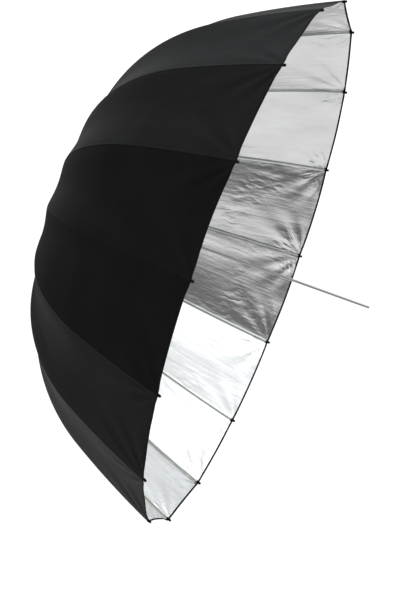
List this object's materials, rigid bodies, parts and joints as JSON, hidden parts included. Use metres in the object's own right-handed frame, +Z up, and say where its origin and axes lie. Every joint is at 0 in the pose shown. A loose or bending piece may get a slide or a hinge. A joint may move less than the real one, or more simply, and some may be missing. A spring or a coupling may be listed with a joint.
{
  "type": "umbrella reflector",
  "caption": "Deep folding umbrella reflector with many slim ribs, a black cloth canopy with a silver inside, a sliding runner and a straight metal shaft to clamp.",
  "frame": {"origin": "on the shaft's axis at the point where an umbrella bracket clamps it, 245 mm past the plane of the rim", "axes": "+X along the shaft from the crown to its free end, the way the bowl opens; +Z up, through one rib; Y across"},
  "size_m": [1.0105, 1.656, 1.656],
  "materials": {
    "shaft_metal": "polished",
    "stretcher_metal": "satin",
    "wire": "satin",
    "fibreglass": "semi-gloss pale grey-green",
    "black_plastic": "moulded",
    "grey_plastic": "moulded",
    "cloth": "black outside, silver coated inside",
    "tape": "woven binding"
  },
  "bodies": {
    "frame": {"shaft": "shaft_metal", "shaft_end_cap": "shaft_metal", "ferrule": "black_plastic", "canopy_washer": "black_plastic", "crown": "grey_plastic", "crown_wire": "wire", "canopy": "cloth", "rim_tape": "tape"},
    "runner": {"runner": "grey_plastic"},
    "open_catch": {"open_catch": "wire"},
    "rib_inner_01": {"rib_inner_01": "fibreglass"},
    "rib_outer_01": {"rib_outer_01": "fibreglass"},
    "stretcher_01": {"stretcher_01": "stretcher_metal"},
    "rib_inner_02": {"rib_inner_02": "fibreglass"},
    "rib_outer_02": {"rib_outer_02": "fibreglass"},
    "stretcher_02": {"stretcher_02": "stretcher_metal"},
    "rib_inner_03": {"rib_inner_03": "fibreglass"},
    "rib_outer_03": {"rib_outer_03": "fibreglass"},
    "stretcher_03": {"stretcher_03": "stretcher_metal"},
    "rib_inner_04": {"rib_inner_04": "fibreglass"},
    "rib_outer_04": {"rib_outer_04": "fibreglass"},
    "stretcher_04": {"stretcher_04": "stretcher_metal"},
    "rib_inner_05": {"rib_inner_05": "fibreglass"},
    "rib_outer_05": {"rib_outer_05": "fibreglass"},
    "stretcher_05": {"stretcher_05": "stretcher_metal"},
    "rib_inner_06": {"rib_inner_06": "fibreglass"},
    "rib_outer_06": {"rib_outer_06": "fibreglass"},
    "stretcher_06": {"stretcher_06": "stretcher_metal"},
    "rib_inner_07": {"rib_inner_07": "fibreglass"},
    "rib_outer_07": {"rib_outer_07": "fibreglass"},
    "stretcher_07": {"stretcher_07": "stretcher_metal"},
    "rib_inner_08": {"rib_inner_08": "fibreglass"},
    "rib_outer_08": {"rib_outer_08": "fibreglass"},
    "stretcher_08": {"stretcher_08": "stretcher_metal"},
    "rib_inner_09": {"rib_inner_09": "fibreglass"},
    "rib_outer_09": {"rib_outer_09": "fibreglass"},
    "stretcher_09": {"stretcher_09": "stretcher_metal"},
    "rib_inner_10": {"rib_inner_10": "fibreglass"},
    "rib_outer_10": {"rib_outer_10": "fibreglass"},
    "stretcher_10": {"stretcher_10": "stretcher_metal"},
    "rib_inner_11": {"rib_inner_11": "fibreglass"},
    "rib_outer_11": {"rib_outer_11": "fibreglass"},
    "stretcher_11": {"stretcher_11": "stretcher_metal"},
    "rib_inner_12": {"rib_inner_12": "fibreglass"},
    "rib_outer_12": {"rib_outer_12": "fibreglass"},
    "stretcher_12": {"stretcher_12": "stretcher_metal"},
    "rib_inner_13": {"rib_inner_13": "fibreglass"},
    "rib_outer_13": {"rib_outer_13": "fibreglass"},
    "stretcher_13": {"stretcher_13": "stretcher_metal"},
    "rib_inner_14": {"rib_inner_14": "fibreglass"},
    "rib_outer_14": {"rib_outer_14": "fibreglass"},
    "stretcher_14": {"stretcher_14": "stretcher_metal"},
    "rib_inner_15": {"rib_inner_15": "fibreglass"},
    "rib_outer_15": {"rib_outer_15": "fibreglass"},
    "stretcher_15": {"stretcher_15": "stretcher_metal"},
    "rib_inner_16": {"rib_inner_16": "fibreglass"},
    "rib_outer_16": {"rib_outer_16": "fibreglass"},
    "stretcher_16": {"stretcher_16": "stretcher_metal"}
  },
  "joints": [
    {"name": "runner_slide", "type": "slide", "parent": "frame", "child": "runner", "axis": [1, 0, 0], "range_m": [0, 0.51663], "deforming": ["canopy", "rim_tape"]},
    {"name": "open_catch_press", "type": "slide", "parent": "frame", "child": "open_catch", "axis": [0, 0, -1], "range_m": [0, 0.0022], "stiffness_N_per_m": 400},
    {"name": "rib_hinge_01", "type": "hinge", "parent": "frame", "child": "rib_inner_01", "pos_m": [-0.87537, 0, 0.012], "axis": [0, 1, 0], "range_deg": [0, 74.87]},
    {"name": "rib_flex_01", "type": "hinge", "parent": "rib_inner_01", "child": "rib_outer_01", "pos_m": [-0.8194, 0, 0.33638], "axis": [0, 1, 0], "range_deg": [-32.92, 0]},
    {"name": "stretcher_hinge_01", "type": "hinge", "parent": "rib_inner_01", "child": "stretcher_01", "pos_m": [-0.81326, 0, 0.32715], "axis": [0, 1, 0], "range_deg": [-149.72, 0]},
    {"name": "rib_hinge_02", "type": "hinge", "parent": "frame", "child": "rib_inner_02", "pos_m": [-0.87537, 0.00459, 0.01109], "axis": [0, 0.9239, -0.3827], "range_deg": [0, 74.87]},
    {"name": "rib_flex_02", "type": "hinge", "parent": "rib_inner_02", "child": "rib_outer_02", "pos_m": [-0.8194, 0.12873, 0.31078], "axis": [0, 0.9239, -0.3827], "range_deg": [-32.92, 0]},
    {"name": "stretcher_hinge_02", "type": "hinge", "parent": "rib_inner_02", "child": "stretcher_02", "pos_m": [-0.81326, 0.12519, 0.30225], "axis": [0, 0.9239, -0.3827], "range_deg": [-149.72, 0]},
    {"name": "rib_hinge_03", "type": "hinge", "parent": "frame", "child": "rib_inner_03", "pos_m": [-0.87537, 0.00849, 0.00849], "axis": [0, 0.7071, -0.7071], "range_deg": [0, 74.87]},
    {"name": "rib_flex_03", "type": "hinge", "parent": "rib_inner_03", "child": "rib_outer_03", "pos_m": [-0.8194, 0.23786, 0.23786], "axis": [0, 0.7071, -0.7071], "range_deg": [-32.92, 0]},
    {"name": "stretcher_hinge_03", "type": "hinge", "parent": "rib_inner_03", "child": "stretcher_03", "pos_m": [-0.81326, 0.23133, 0.23133], "axis": [0, 0.7071, -0.7071], "range_deg": [-149.72, 0]},
    {"name": "rib_hinge_04", "type": "hinge", "parent": "frame", "child": "rib_inner_04", "pos_m": [-0.87537, 0.01109, 0.00459], "axis": [0, 0.3827, -0.9239], "range_deg": [0, 74.87]},
    {"name": "rib_flex_04", "type": "hinge", "parent": "rib_inner_04", "child": "rib_outer_04", "pos_m": [-0.8194, 0.31078, 0.12873], "axis": [0, 0.3827, -0.9239], "range_deg": [-32.92, 0]},
    {"name": "stretcher_hinge_04", "type": "hinge", "parent": "rib_inner_04", "child": "stretcher_04", "pos_m": [-0.81326, 0.30225, 0.12519], "axis": [0, 0.3827, -0.9239], "range_deg": [-149.72, 0]},
    {"name": "rib_hinge_05", "type": "hinge", "parent": "frame", "child": "rib_inner_05", "pos_m": [-0.87537, 0.012, 0], "axis": [0, 0, -1], "range_deg": [0, 74.87]},
    {"name": "rib_flex_05", "type": "hinge", "parent": "rib_inner_05", "child": "rib_outer_05", "pos_m": [-0.8194, 0.33638, 0], "axis": [0, 0, -1], "range_deg": [-32.92, 0]},
    {"name": "stretcher_hinge_05", "type": "hinge", "parent": "rib_inner_05", "child": "stretcher_05", "pos_m": [-0.81326, 0.32715, 0], "axis": [0, 0, -1], "range_deg": [-149.72, 0]},
    {"name": "rib_hinge_06", "type": "hinge", "parent": "frame", "child": "rib_inner_06", "pos_m": [-0.87537, 0.01109, -0.00459], "axis": [0, -0.3827, -0.9239], "range_deg": [0, 74.87]},
    {"name": "rib_flex_06", "type": "hinge", "parent": "rib_inner_06", "child": "rib_outer_06", "pos_m": [-0.8194, 0.31078, -0.12873], "axis": [0, -0.3827, -0.9239], "range_deg": [-32.92, 0]},
    {"name": "stretcher_hinge_06", "type": "hinge", "parent": "rib_inner_06", "child": "stretcher_06", "pos_m": [-0.81326, 0.30225, -0.12519], "axis": [0, -0.3827, -0.9239], "range_deg": [-149.72, 0]},
    {"name": "rib_hinge_07", "type": "hinge", "parent": "frame", "child": "rib_inner_07", "pos_m": [-0.87537, 0.00849, -0.00849], "axis": [0, -0.7071, -0.7071], "range_deg": [0, 74.87]},
    {"name": "rib_flex_07", "type": "hinge", "parent": "rib_inner_07", "child": "rib_outer_07", "pos_m": [-0.8194, 0.23786, -0.23786], "axis": [0, -0.7071, -0.7071], "range_deg": [-32.92, 0]},
    {"name": "stretcher_hinge_07", "type": "hinge", "parent": "rib_inner_07", "child": "stretcher_07", "pos_m": [-0.81326, 0.23133, -0.23133], "axis": [0, -0.7071, -0.7071], "range_deg": [-149.72, 0]},
    {"name": "rib_hinge_08", "type": "hinge", "parent": "frame", "child": "rib_inner_08", "pos_m": [-0.87537, 0.00459, -0.01109], "axis": [0, -0.9239, -0.3827], "range_deg": [0, 74.87]},
    {"name": "rib_flex_08", "type": "hinge", "parent": "rib_inner_08", "child": "rib_outer_08", "pos_m": [-0.8194, 0.12873, -0.31078], "axis": [0, -0.9239, -0.3827], "range_deg": [-32.92, 0]},
    {"name": "stretcher_hinge_08", "type": "hinge", "parent": "rib_inner_08", "child": "stretcher_08", "pos_m": [-0.81326, 0.12519, -0.30225], "axis": [0, -0.9239, -0.3827], "range_deg": [-149.72, 0]},
    {"name": "rib_hinge_09", "type": "hinge", "parent": "frame", "child": "rib_inner_09", "pos_m": [-0.87537, 0, -0.012], "axis": [0, -1, 0], "range_deg": [0, 74.87]},
    {"name": "rib_flex_09", "type": "hinge", "parent": "rib_inner_09", "child": "rib_outer_09", "pos_m": [-0.8194, 0, -0.33638], "axis": [0, -1, 0], "range_deg": [-32.92, 0]},
    {"name": "stretcher_hinge_09", "type": "hinge", "parent": "rib_inner_09", "child": "stretcher_09", "pos_m": [-0.81326, 0, -0.32715], "axis": [0, -1, 0], "range_deg": [-149.72, 0]},
    {"name": "rib_hinge_10", "type": "hinge", "parent": "frame", "child": "rib_inner_10", "pos_m": [-0.87537, -0.00459, -0.01109], "axis": [0, -0.9239, 0.3827], "range_deg": [0, 74.87]},
    {"name": "rib_flex_10", "type": "hinge", "parent": "rib_inner_10", "child": "rib_outer_10", "pos_m": [-0.8194, -0.12873, -0.31078], "axis": [0, -0.9239, 0.3827], "range_deg": [-32.92, 0]},
    {"name": "stretcher_hinge_10", "type": "hinge", "parent": "rib_inner_10", "child": "stretcher_10", "pos_m": [-0.81326, -0.12519, -0.30225], "axis": [0, -0.9239, 0.3827], "range_deg": [-149.72, 0]},
    {"name": "rib_hinge_11", "type": "hinge", "parent": "frame", "child": "rib_inner_11", "pos_m": [-0.87537, -0.00849, -0.00849], "axis": [0, -0.7071, 0.7071], "range_deg": [0, 74.87]},
    {"name": "rib_flex_11", "type": "hinge", "parent": "rib_inner_11", "child": "rib_outer_11", "pos_m": [-0.8194, -0.23786, -0.23786], "axis": [0, -0.7071, 0.7071], "range_deg": [-32.92, 0]},
    {"name": "stretcher_hinge_11", "type": "hinge", "parent": "rib_inner_11", "child": "stretcher_11", "pos_m": [-0.81326, -0.23133, -0.23133], "axis": [0, -0.7071, 0.7071], "range_deg": [-149.72, 0]},
    {"name": "rib_hinge_12", "type": "hinge", "parent": "frame", "child": "rib_inner_12", "pos_m": [-0.87537, -0.01109, -0.00459], "axis": [0, -0.3827, 0.9239], "range_deg": [0, 74.87]},
    {"name": "rib_flex_12", "type": "hinge", "parent": "rib_inner_12", "child": "rib_outer_12", "pos_m": [-0.8194, -0.31078, -0.12873], "axis": [0, -0.3827, 0.9239], "range_deg": [-32.92, 0]},
    {"name": "stretcher_hinge_12", "type": "hinge", "parent": "rib_inner_12", "child": "stretcher_12", "pos_m": [-0.81326, -0.30225, -0.12519], "axis": [0, -0.3827, 0.9239], "range_deg": [-149.72, 0]},
    {"name": "rib_hinge_13", "type": "hinge", "parent": "frame", "child": "rib_inner_13", "pos_m": [-0.87537, -0.012, 0], "axis": [0, 0, 1], "range_deg": [0, 74.87]},
    {"name": "rib_flex_13", "type": "hinge", "parent": "rib_inner_13", "child": "rib_outer_13", "pos_m": [-0.8194, -0.33638, 0], "axis": [0, 0, 1], "range_deg": [-32.92, 0]},
    {"name": "stretcher_hinge_13", "type": "hinge", "parent": "rib_inner_13", "child": "stretcher_13", "pos_m": [-0.81326, -0.32715, 0], "axis": [0, 0, 1], "range_deg": [-149.72, 0]},
    {"name": "rib_hinge_14", "type": "hinge", "parent": "frame", "child": "rib_inner_14", "pos_m": [-0.87537, -0.01109, 0.00459], "axis": [0, 0.3827, 0.9239], "range_deg": [0, 74.87]},
    {"name": "rib_flex_14", "type": "hinge", "parent": "rib_inner_14", "child": "rib_outer_14", "pos_m": [-0.8194, -0.31078, 0.12873], "axis": [0, 0.3827, 0.9239], "range_deg": [-32.92, 0]},
    {"name": "stretcher_hinge_14", "type": "hinge", "parent": "rib_inner_14", "child": "stretcher_14", "pos_m": [-0.81326, -0.30225, 0.12519], "axis": [0, 0.3827, 0.9239], "range_deg": [-149.72, 0]},
    {"name": "rib_hinge_15", "type": "hinge", "parent": "frame", "child": "rib_inner_15", "pos_m": [-0.87537, -0.00849, 0.00849], "axis": [0, 0.7071, 0.7071], "range_deg": [0, 74.87]},
    {"name": "rib_flex_15", "type": "hinge", "parent": "rib_inner_15", "child": "rib_outer_15", "pos_m": [-0.8194, -0.23786, 0.23786], "axis": [0, 0.7071, 0.7071], "range_deg": [-32.92, 0]},
    {"name": "stretcher_hinge_15", "type": "hinge", "parent": "rib_inner_15", "child": "stretcher_15", "pos_m": [-0.81326, -0.23133, 0.23133], "axis": [0, 0.7071, 0.7071], "range_deg": [-149.72, 0]},
    {"name": "rib_hinge_16", "type": "hinge", "parent": "frame", "child": "rib_inner_16", "pos_m": [-0.87537, -0.00459, 0.01109], "axis": [0, 0.9239, 0.3827], "range_deg": [0, 74.87]},
    {"name": "rib_flex_16", "type": "hinge", "parent": "rib_inner_16", "child": "rib_outer_16", "pos_m": [-0.8194, -0.12873, 0.31078], "axis": [0, 0.9239, 0.3827], "range_deg": [-32.92, 0]},
    {"name": "stretcher_hinge_16", "type": "hinge", "parent": "rib_inner_16", "child": "stretcher_16", "pos_m": [-0.81326, -0.12519, 0.30225], "axis": [0, 0.9239, 0.3827], "range_deg": [-149.72, 0]}
  ],
  "couplings": [
    {"joint": "rib_hinge_01", "follows": "runner_slide", "rad_per_m": 2.5287},
    {"joint": "rib_flex_01", "follows": "runner_slide", "rad_per_m": -1.1115},
    {"joint": "stretcher_hinge_01", "follows": "runner_slide", "rad_per_m": -5.0573},
    {"joint": "rib_hinge_02", "follows": "runner_slide", "rad_per_m": 2.5287},
    {"joint": "rib_flex_02", "follows": "runner_slide", "rad_per_m": -1.1115},
    {"joint": "stretcher_hinge_02", "follows": "runner_slide", "rad_per_m": -5.0573},
    {"joint": "rib_hinge_03", "follows": "runner_slide", "rad_per_m": 2.5287},
    {"joint": "rib_flex_03", "follows": "runner_slide", "rad_per_m": -1.1115},
    {"joint": "stretcher_hinge_03", "follows": "runner_slide", "rad_per_m": -5.0573},
    {"joint": "rib_hinge_04", "follows": "runner_slide", "rad_per_m": 2.5287},
    {"joint": "rib_flex_04", "follows": "runner_slide", "rad_per_m": -1.1115},
    {"joint": "stretcher_hinge_04", "follows": "runner_slide", "rad_per_m": -5.0573},
    {"joint": "rib_hinge_05", "follows": "runner_slide", "rad_per_m": 2.5287},
    {"joint": "rib_flex_05", "follows": "runner_slide", "rad_per_m": -1.1115},
    {"joint": "stretcher_hinge_05", "follows": "runner_slide", "rad_per_m": -5.0573},
    {"joint": "rib_hinge_06", "follows": "runner_slide", "rad_per_m": 2.5287},
    {"joint": "rib_flex_06", "follows": "runner_slide", "rad_per_m": -1.1115},
    {"joint": "stretcher_hinge_06", "follows": "runner_slide", "rad_per_m": -5.0573},
    {"joint": "rib_hinge_07", "follows": "runner_slide", "rad_per_m": 2.5287},
    {"joint": "rib_flex_07", "follows": "runner_slide", "rad_per_m": -1.1115},
    {"joint": "stretcher_hinge_07", "follows": "runner_slide", "rad_per_m": -5.0573},
    {"joint": "rib_hinge_08", "follows": "runner_slide", "rad_per_m": 2.5287},
    {"joint": "rib_flex_08", "follows": "runner_slide", "rad_per_m": -1.1115},
    {"joint": "stretcher_hinge_08", "follows": "runner_slide", "rad_per_m": -5.0573},
    {"joint": "rib_hinge_09", "follows": "runner_slide", "rad_per_m": 2.5287},
    {"joint": "rib_flex_09", "follows": "runner_slide", "rad_per_m": -1.1115},
    {"joint": "stretcher_hinge_09", "follows": "runner_slide", "rad_per_m": -5.0573},
    {"joint": "rib_hinge_10", "follows": "runner_slide", "rad_per_m": 2.5287},
    {"joint": "rib_flex_10", "follows": "runner_slide", "rad_per_m": -1.1115},
    {"joint": "stretcher_hinge_10", "follows": "runner_slide", "rad_per_m": -5.0573},
    {"joint": "rib_hinge_11", "follows": "runner_slide", "rad_per_m": 2.5287},
    {"joint": "rib_flex_11", "follows": "runner_slide", "rad_per_m": -1.1115},
    {"joint": "stretcher_hinge_11", "follows": "runner_slide", "rad_per_m": -5.0573},
    {"joint": "rib_hinge_12", "follows": "runner_slide", "rad_per_m": 2.5287},
    {"joint": "rib_flex_12", "follows": "runner_slide", "rad_per_m": -1.1115},
    {"joint": "stretcher_hinge_12", "follows": "runner_slide", "rad_per_m": -5.0573},
    {"joint": "rib_hinge_13", "follows": "runner_slide", "rad_per_m": 2.5287},
    {"joint": "rib_flex_13", "follows": "runner_slide", "rad_per_m": -1.1115},
    {"joint": "stretcher_hinge_13", "follows": "runner_slide", "rad_per_m": -5.0573},
    {"joint": "rib_hinge_14", "follows": "runner_slide", "rad_per_m": 2.5287},
    {"joint": "rib_flex_14", "follows": "runner_slide", "rad_per_m": -1.1115},
    {"joint": "stretcher_hinge_14", "follows": "runner_slide", "rad_per_m": -5.0573},
    {"joint": "rib_hinge_15", "follows": "runner_slide", "rad_per_m": 2.5287},
    {"joint": "rib_flex_15", "follows": "runner_slide", "rad_per_m": -1.1115},
    {"joint": "stretcher_hinge_15", "follows": "runner_slide", "rad_per_m": -5.0573},
    {"joint": "rib_hinge_16", "follows": "runner_slide", "rad_per_m": 2.5287},
    {"joint": "rib_flex_16", "follows": "runner_slide", "rad_per_m": -1.1115},
    {"joint": "stretcher_hinge_16", "follows": "runner_slide", "rad_per_m": -5.0573}
  ]
}
